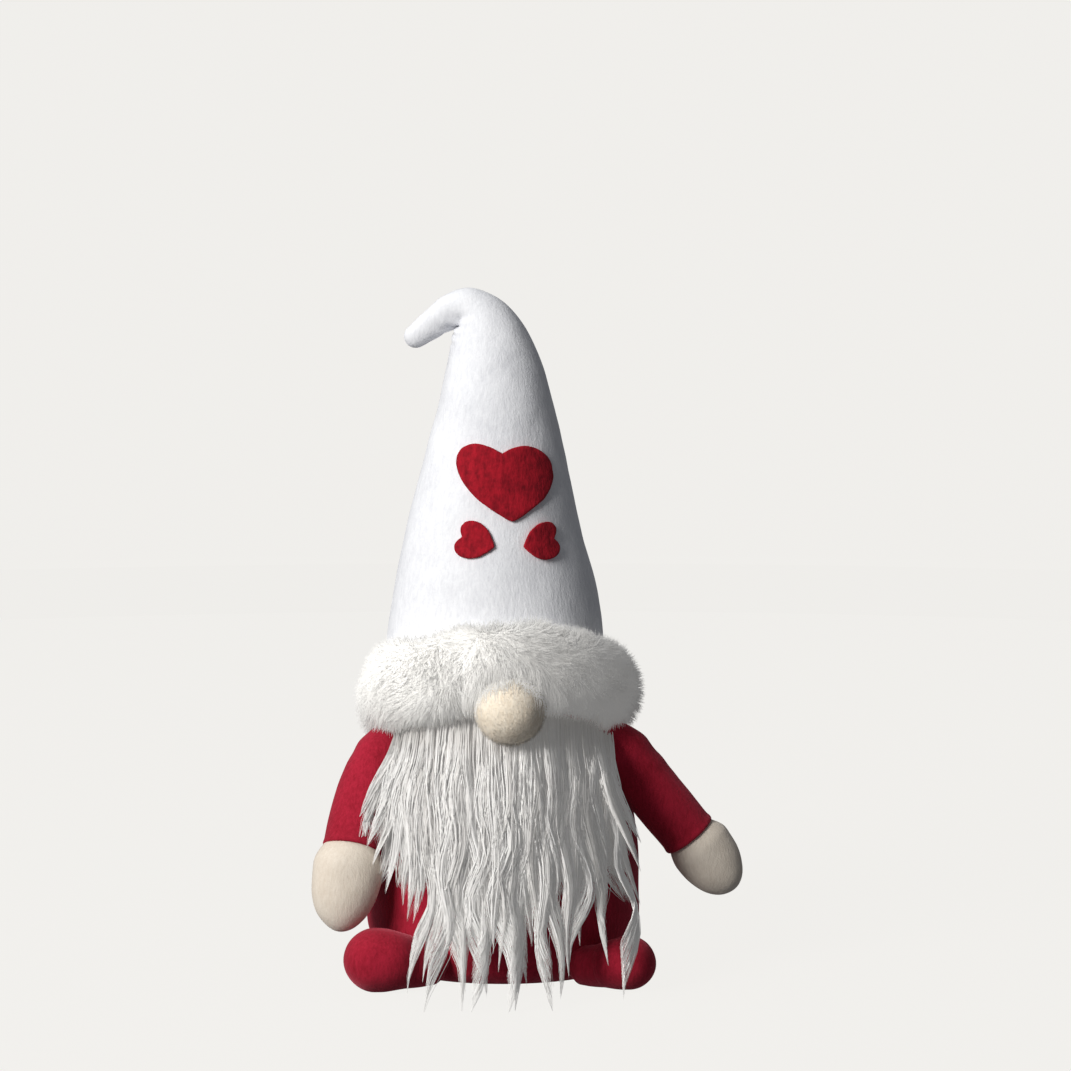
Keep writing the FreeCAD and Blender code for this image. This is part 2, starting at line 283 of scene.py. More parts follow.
def hair_material(name, root, dark, light, glow):
    """Fibre whose colour runs from its root to its tip and differs from strand to strand. glow
    stands for the light that pale fibre scatters on from strand to strand."""
    shader = Shader(name, Roughness=0.5, Specular_IOR_Level=0.25, Sheen_Weight=0.35, Sheen_Roughness=0.4,
                    Emission_Color=(1.0, 0.985, 0.96, 1), Emission_Strength=glow)
    tint = shader.add("ShaderNodeAttribute", attribute_name="tint").outputs["Color"]
    split = shader.add("ShaderNodeSeparateColor", {"Color": tint})
    # A strand's tint runs it from the dark colour to the light one; the beard lowers the tint of locks that lie
    # deep in the fur, which is painted shade between the locks.
    strand = shader.ramp(split.outputs["Red"], [(0.0, dark), (1.0, light)])
    streak = shader.noise(700, 2, (1, 1, 0.06))
    worn = shader.mix(shader.multiply(streak, 0.35), strand, dark)
    # Painted shade: the root colour darkens each strand near its root, where shade falls deep in the fur.
    grown = shader.ramp(split.outputs["Green"], [(0.0, root), (0.22, (1, 1, 1))])
    shader.colour(shader.mix(1.0, worn, grown, "MULTIPLY"))
    shader.roughness(0.42, 0.7, streak)
    return shader.material


def knit_material(name, light, dark, pitch):
    """A fine knitted backing: rows of loops by two crossed waves."""
    shader = Shader(name, Roughness=0.9, Sheen_Weight=0.2)
    waves = []
    for scale, waver, way in ((1 / pitch, 1.5, "Z"), (1.4 / pitch, 2.0, "X")):
        links = {"Vector": shader.place, "Scale": scale, "Distortion": waver}
        waves.append(shader.add("ShaderNodeTexWave", links, bands_direction=way).outputs["Fac"])
    weave = shader.multiply(*waves)
    worn = shader.add_part(shader.noise(60), 0.4, weave)
    shader.colour(shader.ramp(worn, [(0.1, dark), (0.9, light)]))
    shader.bump(weave, 0.7, 0.4 * MM)
    return shader.material


def card_material():
    shader = Shader("card", Roughness=0.85, Specular_IOR_Level=0.2)
    fibres = shader.noise(350, 5, (1, 0.2, 1))
    shader.colour(shader.ramp(fibres, [(0.35, (0.30, 0.21, 0.12)), (0.7, (0.47, 0.35, 0.22))]))
    shader.bump(fibres, 0.3, 0.3 * MM)
    return shader.material


def pellet_material():
    shader = Shader("pellets", Roughness=0.45)
    cells = shader.add("ShaderNodeTexVoronoi", {"Vector": shader.place, "Scale": 330.0}).outputs["Distance"]
    # Painted shade: each pellet is lighter at its middle and darker towards the gaps between pellets.
    shader.colour(shader.ramp(cells, [(0.0, (0.80, 0.80, 0.76)), (0.8, (0.28, 0.28, 0.26))]))
    shader.roughness(0.35, 0.6, cells)
    shader.bump(cells, 1.0, -1 * MM)
    return shader.material


CLOTHS = {  # material's name, light and dark colour, fibre scale, mottle scale, sheen, its colour, bump
    "fleece": ("red_fleece", (0.41, 0.015, 0.038), (0.22, 0.004, 0.013), 1500, 45, 0.55, (0.95, 0.25, 0.32)),
    "felt": ("white_felt", (0.88, 0.89, 0.92), (0.72, 0.73, 0.77), 1100, 50, 0.30, (0.95, 0.96, 1.0)),
    "mitt": ("mitt_felt", (0.80, 0.72, 0.62), (0.68, 0.59, 0.49), 1700, 60, 0.35, (1.0, 0.92, 0.84)),
    "nose": ("nose_felt", (0.97, 0.88, 0.74), (0.88, 0.76, 0.60), 900, 160, 0.35, (1.0, 0.92, 0.84)),
    "heart": ("heart_felt", (0.40, 0.010, 0.022), (0.13, 0.003, 0.008), 800, 260, 0.30, (0.9, 0.2, 0.26), 0.9),
    "fill": ("fibre_fill", (0.90, 0.90, 0.90), (0.70, 0.70, 0.72), 500, 90, 0.4, (1, 1, 1), 1.0),
    "thread_red": ("thread_red", (0.28, 0.008, 0.02), (0.14, 0.003, 0.01), 2500, 200, 0.3, (0.9, 0.2, 0.3)),
    "thread_white": ("thread_white", (0.82, 0.82, 0.84), (0.62, 0.62, 0.64), 2500, 200, 0.3, (1, 1, 1))}


def make_materials():
    look = {key: cloth_material(*row) for key, row in CLOTHS.items()}
    look["pouch"] = knit_material("cotton_pouch", (0.72, 0.68, 0.58), (0.50, 0.46, 0.38), 0.8 * MM)
    look["knit"] = knit_material("knit_backing", (0.66, 0.62, 0.55), (0.42, 0.38, 0.33), 1.2 * MM)
    look["card"] = card_material()
    look["pellets"] = pellet_material()
    # The beard's root colour is painted shade near the roots; its dark colour is partly a random darker tone
    # and partly painted shade between the locks.
    look["beard"] = hair_material("long_fur", (0.62, 0.60, 0.58), (0.50, 0.475, 0.45),
                                  (0.98, 0.975, 0.96), 0.095)
    # The plush's root colour is a little darker: painted shade near the roots.
    look["plush"] = hair_material("plush_pile", (0.95, 0.94, 0.92), (0.90, 0.885, 0.85),
                                  (0.98, 0.972, 0.945), 0.13)
    return look


def finish_piece(thing, material, body=None, replaces=()):
    thing.data.materials.clear()
    thing.data.materials.append(material)
    if replaces:
        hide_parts(*replaces)
    if body:
        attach(thing, body)


def finish_stuffed(cover, fill, look, cloth, body, covers, fills):
    """A cover and the fibre in it, which take the places of their CAD nodes."""
    finish_piece(cover, look[cloth], body, (covers,))
    finish_piece(fill, look["fill"], body, (fills,))


# ---- strands of fibre ----
def store_tint(thing, colour):
    layer = thing.data.color_attributes.new("tint", "FLOAT_COLOR", "POINT")
    layer.data.foreach_set("color", colour.ravel())


def tint_surface(thing, strand, grown):
    """One tint for a plain surface: which strand's colour it has, and how far from the root."""
    colour = np.ones((len(thing.data.vertices), 4), np.float32)
    colour[:, :2] = strand, grown
    store_tint(thing, colour)


def strand_piece(name, paths, radii, tint, facing, soft):
    """Tapering three-sided strands, one for each path, as one mesh. tint is one value a strand;
    facing is the way the fur's surface faces there, and soft is how far it rules the shading."""
    count, steps = paths.shape[:2]
    tangent = unit(np.gradient(paths, axis=1))
    aside = unit(np.cross(tangent, facing))
    upward = np.cross(aside, tangent)
    spokes = np.stack([math.cos(angle) * aside + math.sin(angle) * upward
                       for angle in (math.pi / 2, math.pi * 7 / 6, math.pi * 11 / 6)], 2)
    points = paths[:, :, None] + radii[..., None, None] * spokes
    strand, step, side = np.meshgrid(np.arange(count), np.arange(steps - 1), np.arange(3), indexing="ij")
    here = (strand * steps + step) * 3 + side
    ahead = (strand * steps + step) * 3 + (side + 1) % 3
    quads = np.stack([here, ahead, ahead + 3, here + 3], -1).reshape(-1, 4)
    first = (np.arange(count) * steps * 3)[:, None]
    last = first + (steps - 1) * 3
    tris = np.vstack([first + [2, 1, 0], last + [0, 1, 2]])
    thing = mesh_object(name, points.reshape(-1, 3), quads, tris)
    normals = unit(soft * facing[:, :, None] + (1 - soft) * spokes)
    thing.data.normals_split_custom_set_from_vertices(normals.reshape(-1, 3).tolist())
    colour = np.ones((count, steps, 3, 4), np.float32)
    colour[..., 0] = tint[:, None, None]
    # The second channel is the share along the strand, which the material uses to paint shade near the roots.
    colour[..., 1] = np.linspace(0, 1, steps)[None, :, None]
    store_tint(thing, colour)
    return thing


# ---- hat ----
HAT_KEYS = [  # height and sideways shift, half width, in percent; degrees turned over, tipped back
    (5.2, 0.0, 50.0, 0, 12), (18.9, -0.8, 49.6, 0, 4), (30.2, -0.6, 46.6, 0, 0),
    (46.0, -1.3, 39.6, 0, 0), (61.8, -0.3, 32.2, 0, 0), (69.5, -0.1, 28.4, 0, 0),
    (76.6, -0.4, 24.6, 0, 0), (83.3, -1.1, 20.9, 0, 0), (88.9, -2.9, 17.2, 8, 0),
    (93.0, -6.8, 13.4, 25, 0), (95.2, -11.6, 10.1, 55, 0)]
HAT_DEPTH_SHARE = 0.94
TIP_WAY = np.array([-0.852, 0.0, -0.524])
TIP_KEYS = [  # mm along the tip, mm up off its line, half width
    (0.0, 0.0, 8.4), (6.5, 1.3, 7.2), (12.5, 1.0, 6.5), (18.5, 0.5, 6.0), (23.5, 0.0, 5.3)]
TIP_END = 29.0  # mm
TIP_TURN = 121.6  # degrees
PUCKER_PITCH = 0.0042


def hat_keys():
    """Rows of x, z and half width in metres, and degrees turned over and tipped back."""
    size = HAT_HIGH - HAT_LOW
    middle = (HAT_HIGH[0] + HAT_LOW[0]) / 2
    rows = []
    for height, shift, half, over, back in HAT_KEYS:
        rows.append([middle + shift / 100 * size[0], HAT_LOW[2] + height / 100 * size[2],
                     half / 100 * size[0], over, back])
    up_off = np.array([TIP_WAY[2], 0, -TIP_WAY[0]])
    for number, (along, off, half) in enumerate(TIP_KEYS):
        spot = TIP_PIVOT + TIP_WAY * along * MM + up_off * off * MM
        rows.append([spot[0], spot[2], half * MM, 85 if number == 0 else TIP_TURN, 0])
    last_along, _, last_half = TIP_KEYS[-1]
    for angle in (25, 50, 70, 84):
        reach = last_along + (TIP_END - last_along) * math.sin(math.radians(angle))
        spot = TIP_PIVOT + TIP_WAY * reach * MM
        rows.append([spot[0], spot[2], last_half * MM * math.cos(math.radians(angle)), TIP_TURN, 0])
    return rows


def hat_rings(columns=144, rows=190):
    table = through(hat_keys(), rows)
    angle = turn_angles(columns)
    over = np.radians(table[:, 3])[:, None]
    back = np.radians(table[:, 4])[:, None]
    across = table[:, 2][:, None] * np.cos(angle)
    deep = table[:, 2][:, None] * np.sin(angle) * HAT_DEPTH_SHARE
    x = table[:, 0][:, None] + across * np.cos(over)
    z = table[:, 1][:, None] + across * np.sin(over) - deep * np.sin(back)
    rings = np.stack([x, deep * np.cos(back), z], -1)
    away = ring_normals(rings)
    free = smooth_step(0, 0.12, np.linspace(0, 1, rows))[:, None]
    dents = 0.9 * noise(rings, 0.034, 11) + 0.45 * noise(rings, 0.015, 12) + 0.12 * noise(rings, 0.006, 13)
    slim = np.clip(table[:, 2] / 0.02, 0.35, 1)[:, None]
    seam = np.exp(-(((angle - math.pi / 2) * table[:, 2][:, None]) / 0.0011) ** 2)
    rise = np.cumsum(np.linalg.norm(np.diff(rings[:, 0], axis=0, prepend=rings[:1, 0]), axis=-1))[:, None]
    pucker = 0.75 + 0.25 * np.sin(rise / PUCKER_PITCH * FULL_TURN)
    fold = np.exp(-(np.linalg.norm(rings - TIP_PIVOT - [-0.002, 0, -0.0075], axis=-1) / 0.009) ** 2)
    crumple = 0.55 * fold * np.sin(rings[..., 2] / PUCKER_PITCH * FULL_TURN + 3 * np.sin(angle * 2))
    return rings + away * ((dents * slim * free - 0.9 * seam * pucker + crumple) * MM)[..., None]


def stuffing(name, rings, inset, first=0, last=None):
    """What fills a cover: its rings, or the rows of them that are asked for, drawn in."""
    kept = rings[first:last]
    centre = kept.mean(1, keepdims=True)
    reach = np.linalg.norm(kept - centre, axis=-1, keepdims=True)
    roomy = reach.mean((1, 2)) > 1.8 * inset
    return skin(name, (centre + (kept - centre) * np.clip(1 - inset / np.maximum(reach, 1e-6), 0.3, 1))[roomy])


def stitches(name, rings, column, rows, material):
    """A row of slanted stitches over a seam that runs along one column of a grid of rings."""
    rows = np.asarray(rows)[:, None]
    near = rings[rows + [[-1, 0, 1]], [[column - 1, column, column + 1]]]
    away = unit(near - rings.mean(1)[rows[:, 0]][:, None])
    ends = np.array([0.0, 0.5, 1.0])
    spots = np.linspace(0, 1, 7)
    path = np.stack([[np.interp(spots, ends, line[:, axis]) for axis in range(3)] for line in near], 0)
    path = path.transpose(0, 2, 1) + away[:, 1:2] * (0.55 * MM * np.sin(spots * math.pi))[None, :, None]
    radii = np.full(path.shape[:2], 0.2 * MM)
    thread = strand_piece(name, path, radii, np.ones(len(path)), away[:, [1] * 7], 0.5)
    finish_piece(thread, material, "torso")


def make_hat(look):
    rings = hat_rings()
    hat = skin("hat_felt", rings)
    fill = stuffing("hat_fibre_fill", rings, 2.2 * MM, 3)
    finish_piece(hat, look["felt"], None, ("hat_cover", "hat_tip_cover"))
    finish_piece(fill, look["fill"], None, ("hat_stuffing", "hat_tip_stuffing"))
    back_column = rings.shape[1] // 4
    stitches("hat_seam_thread", rings, back_column, range(14, 108, 2), look["thread_white"])
    for piece in (hat, fill):
        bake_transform(piece)
    return hat


# ---- hearts ----
def heart_outline(count):
    """Half-unit heart with full lobes and a shallow notch, starting at its point and going round."""
    side = np.array([(0.0, -0.50), (0.06, -0.47), (0.20, -0.36), (0.36, -0.20), (0.465, -0.01),
                     (0.50, 0.16), (0.48, 0.32), (0.40, 0.44), (0.27, 0.50), (0.14, 0.475),
                     (0.04, 0.415), (0.0, 0.39)])
    half = through(side, count // 2)
    return np.vstack([half, (half * [-1, 1])[::-1]])


def make_heart(node, turn, hat_tree, look, wide, lean=0.0, fit=1.0):
    """A thick felt heart that lies on the hat's front."""
    low, high = box_of(node)
    outline = heart_outline(150)
    angle = math.radians(turn)
    spin = np.array([[math.cos(angle), -math.sin(angle)], [math.sin(angle), math.cos(angle)]])
    outline[:, 0] -= lean * outline[:, 1]
    outline = (outline * [wide, 1.0]) @ spin.T
    span = outline.max(0) - outline.min(0)
    size = np.array([high[0] - low[0], high[2] - low[2]]) * fit
    middle = np.array([(low[0] + high[0]) / 2, (low[2] + high[2]) / 2])
    centre = (outline.max(0) + outline.min(0)) / 2
    outline = (outline - centre) * (size / span) + middle
    wobble = noise(np.stack([outline[:, 0], outline[:, 1], 0 * outline[:, 0]], -1), 0.003, 31)
    outline = middle + (outline - middle) * (1 + 0.012 * wobble)[:, None]
    felt = 1.7 * MM
    shares = [0.02, 0.25, 0.45, 0.62, 0.76, 0.87, 0.94, 0.98, 1.0, 1.008, 1.0, 0.97]
    lifts = [1, 1, 1, 1, 1, 1, 0.98, 0.93, 0.8, 0.45, 0.12, 0.0]
    rings = []
    for share, lift in zip(shares, lifts):
        flat = middle + (outline - middle) * share
        ring = []
        for x, z in flat:
            hit, way, _, _ = hat_tree.ray_cast(Vector((x, -0.2, z)), Vector((0, 1, 0)))
            ring.append(np.array(hit) + np.array(way) * (felt * lift + 0.1 * MM))
        rings.append(ring)
    rings = np.array(rings)
    rings[:8] += FRONT * (0.12 * MM * noise(rings[:8], 0.0016, 32))[..., None]
    heart = skin(node + "_felt", rings)
    finish_piece(heart, look["heart"], "torso", (node,))


# ---- brim ----
BRIM_THICK = 0.0088


def brim_frame(phi):
    """Middle line of the brim's roll, its half height, and the height of the crest by which it covers
    the top of its backing cloth beside the hat, at angles phi from +X."""
    front = -np.sin(phi)
    middle_x = (BRIM_LOW[0] + BRIM_HIGH[0]) / 2
    half_x = (BRIM_HIGH[0] - BRIM_LOW[0]) / 2 - 0.0145
    half_y = half_x * 0.94
    over_nose = np.exp(-((middle_x + half_x * np.cos(phi) - NOSE_CENTRE[0] - 0.004) / 0.020) ** 2) * (front > 0)
    height = 0.121 + 0.013 * front + 0.0050 * front**2 + 0.0030 * np.cos(phi) + 0.0012 * over_nose
    middle = np.stack([middle_x + half_x * np.cos(phi), half_y * np.sin(phi) - 0.0035 * over_nose, height], -1)
    half_high = 0.0135 + 0.0020 * np.clip(front, 0, 1)
    return middle, half_high, np.clip(0.1397 + 0.010 * front - height - half_high, 0, None)


def brim_surface(phi, theta):
    """Points on the brim's fluffy roll. theta is 0 on its outermost line and goes up over it."""
    middle, half_high, crest = brim_frame(phi)
    outward = np.stack([np.cos(phi), np.sin(phi), np.zeros_like(phi)], -1)
    points = middle + outward * (BRIM_THICK * np.cos(theta))[..., None]
    points[..., 2] += half_high * np.sin(theta) + crest * np.clip(np.sin(theta), 0, 1) ** 4
    lumps = 0.0018 * noise(points, 0.021, 41) + 0.0010 * noise(points, 0.009, 42)
    normal = unit(outward * (np.cos(theta) / BRIM_THICK)[..., None]
                  + np.array([0, 0, 1.0]) * (np.sin(theta) / half_high)[..., None])
    return points + normal * lumps[..., None], normal


def plush_lie(root):
    """How the plush fur's lie changes from place to place, slowly and finely."""
    return tuple(np.stack([noise(root, wavelength, seed + k) for k in range(3)], -1)
                 for wavelength, seed in ((0.012, 44), (0.004, 47)))


def plush_piece(name, rng, root, away, swirl, paths, profile, look):
    count, steps = paths.shape[:2]
    radii = np.tile(np.array(profile) * MM, (count, 1))
    tint = np.clip(0.75 + 0.25 * noise(root, 0.007, 50) + 0.1 * rng.normal(size=count), 0, 1)
    facing = unit(away + 0.22 * swirl + [0, -0.1, 0.15])[:, None] * np.ones((1, steps, 1))
    fur = strand_piece(name, paths, radii, tint, facing, 0.9)
    finish_piece(fur, look["plush"], "torso")


def make_brim(look):
    phi, theta = np.meshgrid(turn_angles(360), turn_angles(48), indexing="ij")
    points, _ = brim_surface(phi, theta)
    rows, columns = points.shape[:2]
    r, c = np.meshgrid(np.arange(rows), np.arange(columns), indexing="ij")
    here = r * columns + c
    side = r * columns + (c + 1) % columns
    up = ((r + 1) % rows) * columns + c
    over = ((r + 1) % rows) * columns + (c + 1) % columns
    base = mesh_object("brim_fleece", points.reshape(-1, 3), np.stack([here, up, over, side], -1))
    tint_surface(base, 0.8, 0.8)
    finish_piece(base, look["plush"], "torso", ("brim_pile",))
    rng = np.random.default_rng(43)
    count = 9500
    s = np.linspace(0, 1, 4)[None, :, None]
    for group in range(5):
        phi = rng.uniform(0, FULL_TURN, count)
        theta = rng.uniform(-2.1, 2.2, count)
        root, away = brim_surface(phi, theta)
        swirl, fine = plush_lie(root)
        lean = unit(away + 0.65 * swirl + 0.35 * fine + 0.28 * rng.normal(size=root.shape) + [0, 0, -0.22])
        curl = unit(np.cross(lean, swirl + 0.3 * fine)) + [0, 0, -0.5]
        length = rng.uniform(4.5, 8.0, count)[:, None, None] * MM
        paths = ((root - away * 0.8 * MM)[:, None] + lean[:, None] * length * s
                 + curl[:, None] * length * 0.3 * s**2)
        plush_piece(f"brim_fur_{group}", rng, root, away, swirl, paths, (0.15, 0.14, 0.10, 0.02), look)


def make_fringe(look):
    """Brim fur that hangs over the upper edge of the nose."""
    rng = np.random.default_rng(57)
    phi = 1.5 * math.pi + rng.uniform(-0.42, 0.50, 9000)
    theta = rng.uniform(-1.2, 0.7, 9000)
    root, away = brim_surface(phi, theta)
    side, rise = root[:, 0] - NOSE_CENTRE[0], root[:, 2] - NOSE_CENTRE[2]
    far = np.hypot(side, rise) / NOSE_RADIUS
    keep = (far > 0.80) & (far < 1.5) & (rise > 0.45 * NOSE_RADIUS)
    root, away = root[keep][:2600], away[keep][:2600]
    s = np.linspace(0, 1, 6)[None, :, None]
    swirl, fine = plush_lie(root)
    lean = unit(away + 0.5 * swirl + 0.35 * fine + 0.28 * rng.normal(size=root.shape) + [0, -0.15, -0.35])
    length = rng.uniform(5.5, 9.5, len(root))[:, None, None] * MM
    paths = ((root - away * 0.8 * MM)[:, None] + lean[:, None] * length * s
             + np.array([0, 0, -0.55]) * length * s**2)
    paths = off_core(paths, NOSE_CENTRE, NOSE_RADIUS + 0.5 * MM)
    plush_piece("brim_fringe", rng, root, away, swirl, paths, (0.15, 0.15, 0.14, 0.11, 0.07, 0.02), look)


# ---- nose ----
def make_nose(look):
    angle = np.linspace(0.04, math.pi - 0.04, 70)
    path = np.zeros((70, 3))
    path[:, 2] = -np.cos(angle)
    rings = tube_rings(path, np.sin(angle), np.sin(angle), SIDEWAYS, 110)
    bumps = 0.020 * noise(rings, 0.7, 51) + 0.008 * noise(rings, 0.22, 52) + 0.004 * noise(rings, 0.09, 53)
    rings = NOSE_CENTRE + rings * (1 + bumps)[..., None] * NOSE_RADIUS * np.array([1.0, 1.0, 0.98])
    nose = skin("nose_felt_ball", rings)
    finish_piece(nose, look["nose"], "torso", ("nose_ball",))
    rng = np.random.default_rng(54)
    away = unit(rng.normal(size=(6000, 3)))
    lean = unit(away + 0.8 * unit(rng.normal(size=away.shape)))
    s = np.linspace(0, 1, 4)[None, :, None]
    root = NOSE_CENTRE + away * NOSE_RADIUS * 0.995
    length = rng.uniform(0.6, 1.4, (len(away), 1, 1)) * MM
    paths = root[:, None] + lean[:, None] * length * s + away[:, None] * length * 0.2 * s**2
    radii = np.tile(np.array([0.06, 0.055, 0.045, 0.015]) * MM, (len(away), 1))
    facing = np.repeat(away[:, None], 4, 1)
    fuzz = strand_piece("nose_fuzz", paths, radii, np.ones(len(away)), facing, 0.9)
    finish_piece(fuzz, look["nose"], "torso")


# ---- body ----
BODY_KEYS = [  # share of the height, half width in percent of the widest
    (0.0, 80.0), (0.02, 87.5), (0.06, 94.0), (0.15, 99.3), (0.28, 100.0), (0.43, 99.3), (0.59, 95.2),
    (0.71, 86.5), (0.83, 73.5), (0.92, 62.0), (0.975, 50.0), (0.995, 30.0), (1.0, 5.0)]


def body_half_width(height):
    """Half width of the sack at a height, as a share of its widest."""
    table = np.array(BODY_KEYS)
    return np.interp(height / BODY_HIGH[2], table[:, 0], table[:, 1] / 100)


def make_body(look):
    table = through(BODY_KEYS, 120)
    columns = 160
    angle = turn_angles(columns)
    half = table[:, 1][:, None] / 100
    rings = np.stack([BODY_HALF[0] * half * np.cos(angle), BODY_HALF[1] * half * np.sin(angle),
                      np.repeat(table[:, 0][:, None] * BODY_HIGH[2], columns, 1)], -1)
    away = ring_normals(rings)
    seam = np.exp(-((angle - math.pi / 2) * 0.05 / 0.0012) ** 2)[None]
    pucker = 0.7 + 0.3 * np.sin(rings[..., 2] / 0.0045 * FULL_TURN)
    gathers = np.sin(angle * 46 + 2 * noise(rings, 0.02, 62)) * np.exp(-table[:, 0] / 0.03)[:, None]
    free = smooth_step(0.0, 0.06, table[:, 0])[:, None]
    amount = (1.1 * noise(rings, 0.035, 61) + 0.4 * noise(rings, 0.014, 63)) * free - seam * pucker * free
    rings = rings + away * ((amount + 0.45 * gathers) * MM)[..., None]
    rings[..., 2] = np.maximum(rings[..., 2], CLEAR_OF_FLOOR)
    sack = skin("body_fleece", rings)
    fill = stuffing("body_fibre_fill", rings[rings[:, 0, 2] > 3 * MM], 1.9 * MM, 0, -6)
    finish_stuffed(sack, fill, look, "fleece", "torso", "body_cover", "body_stuffing")
    stitches("sack_seam_thread", rings, columns // 4, range(16, 86, 3), look["thread_red"])


# ---- feet ----
def foot_shape(side):
    """The way a foot points, where its outer end is, its radius and its middle line's y."""
    low, high = box_of(f"{side}_foot_cover")
    radius = (high[2] - low[2]) / 2
    if side == "right":
        return -1, low[0], radius, (low[1] + high[1]) / 2
    return 1, high[0], radius, high[1] - radius


def make_foot(side, look):
    """A stuffed roll, fullest at its outer end, its inner end tucked under the sack."""
    outer, start, radius, middle_y = foot_shape(side)
    shares = np.concatenate([1 - np.cos(np.linspace(0.1, math.pi / 2, 22)), np.linspace(1.08, 3.0, 34)])
    reach = shares * radius
    half = radius * np.where(shares < 1, np.sqrt(np.clip(1 - (1 - shares) ** 2, 0, 1)),
                             1 - 0.24 * smooth_step(1.0, 2.6, shares))
    half[-6:] *= np.array([0.97, 0.92, 0.83, 0.68, 0.45, 0.12])
    tuck = 0.45 * radius * smooth_step(1.2, 2.2, shares) + 0.7 * radius * smooth_step(2.0, 3.0, shares)
    path = np.stack([start - outer * reach, middle_y + tuck, np.full(len(reach), radius)], -1)
    path[:, 2] = np.maximum(half - 0.0004, radius * 0.1)
    path[shares < 1, 2] = radius - 0.0004
    rings = tube_rings(path, half, half * 1.04, np.array([0.0, 0, 1]))
    away = unit(rings - path[:, None])
    amount = 0.6 * noise(rings, 0.017, 71) + 0.25 * noise(rings, 0.008, 72)
    angle = turn_angles(RING_COLUMNS)
    groove = np.exp(-(np.minimum(angle, FULL_TURN - angle) * radius / 0.001) ** 2)
    rings = rings + away * ((amount - 0.5 * groove) * MM)[..., None]
    rings[..., 2] = np.maximum(rings[..., 2], CLEAR_OF_FLOOR)
    foot = skin(f"{side}_foot_fleece", rings)
    fill = stuffing(f"{side}_foot_fibre_fill", rings, 1.9 * MM, 4, -6)
    finish_stuffed(foot, fill, look, "fleece", "torso",
                   f"{side}_foot_cover", f"{side}_foot_stuffing")


# ---- arms ----
ARM_BENDS = {  # mm from the shoulder pivot, where the sleeve's middle line runs
    "right": [(0, 0, 1), (-7, -5, -3), (-14.8, -11, -16), (-20, -19, -33), (-22.0, -25.0, -44.0)],
    "left": [(0, 0, 1), (8.5, -0.5, -4.5), (23, -1, -23), (31, -0.5, -32.8), (38.4, 0.5, -42.1)],
}
HAND_AIMS = {"right": (-0.14, -0.28, -0.95), "left": (0.66, -0.06, -0.75)}
HAND_REACH = {"right": 36.0, "left": 31.5}
HAND_WIDE = {"right": 15.2, "left": 14.2}
SLEEVE_HALF = 12.3


def sleeve_path(side, count):
    pivot = pivot_of(f"{side}_arm_raise")
    return pivot + through(ARM_BENDS[side], count) * MM


def make_sleeve(side, look):
    path = sleeve_path(side, 60)
    gone = np.cumsum(np.linalg.norm(np.diff(path, axis=0, prepend=path[:1]), axis=-1))
    half = SLEEVE_HALF * MM * rounded(np.clip(1 - gone / 0.016, 0, 1) ** 1.4 * 0.999)
    half = np.maximum(half, 0.4 * MM)
    rings = tube_rings(path, half, half * 0.95, SIDEWAYS)
    away = unit(rings - path[:, None])
    angle = turn_angles(RING_COLUMNS)
    share = (gone / gone[-1])[:, None]
    creases = 0.5 * np.sin(share * 34 + 2.2 * noise(rings, 0.013, 81)) * np.exp(-share / 0.25)
    seam = np.exp(-(np.abs(angle - 1.5 * math.pi) * SLEEVE_HALF * MM / 0.0009) ** 2)
    hem = 0.35 * np.exp(-((share - 0.985) / 0.02) ** 2)
    amount = 0.55 * noise(rings, 0.018, 82) + 0.2 * noise(rings, 0.008, 83) + creases - 0.4 * seam + hem
    rings = rings + away * (amount * MM)[..., None]
    inner = path[-1] + (rings[-1] - path[-1]) * 0.90
    lip = unit(path[-1] - path[-2]) * 0.25 * MM
    rings = np.concatenate([rings, (path[-1] + (rings[-1] - path[-1]) * 0.965 + lip)[None], inner[None]])
    sleeve = skin(f"{side}_sleeve_fleece", rings)
    fill = stuffing(f"{side}_arm_fibre_fill", rings, 1.9 * MM, 3, -5)
    finish_stuffed(sleeve, fill, look, "fleece", f"{side}_arm",
                   f"{side}_sleeve", f"{side}_arm_stuffing")


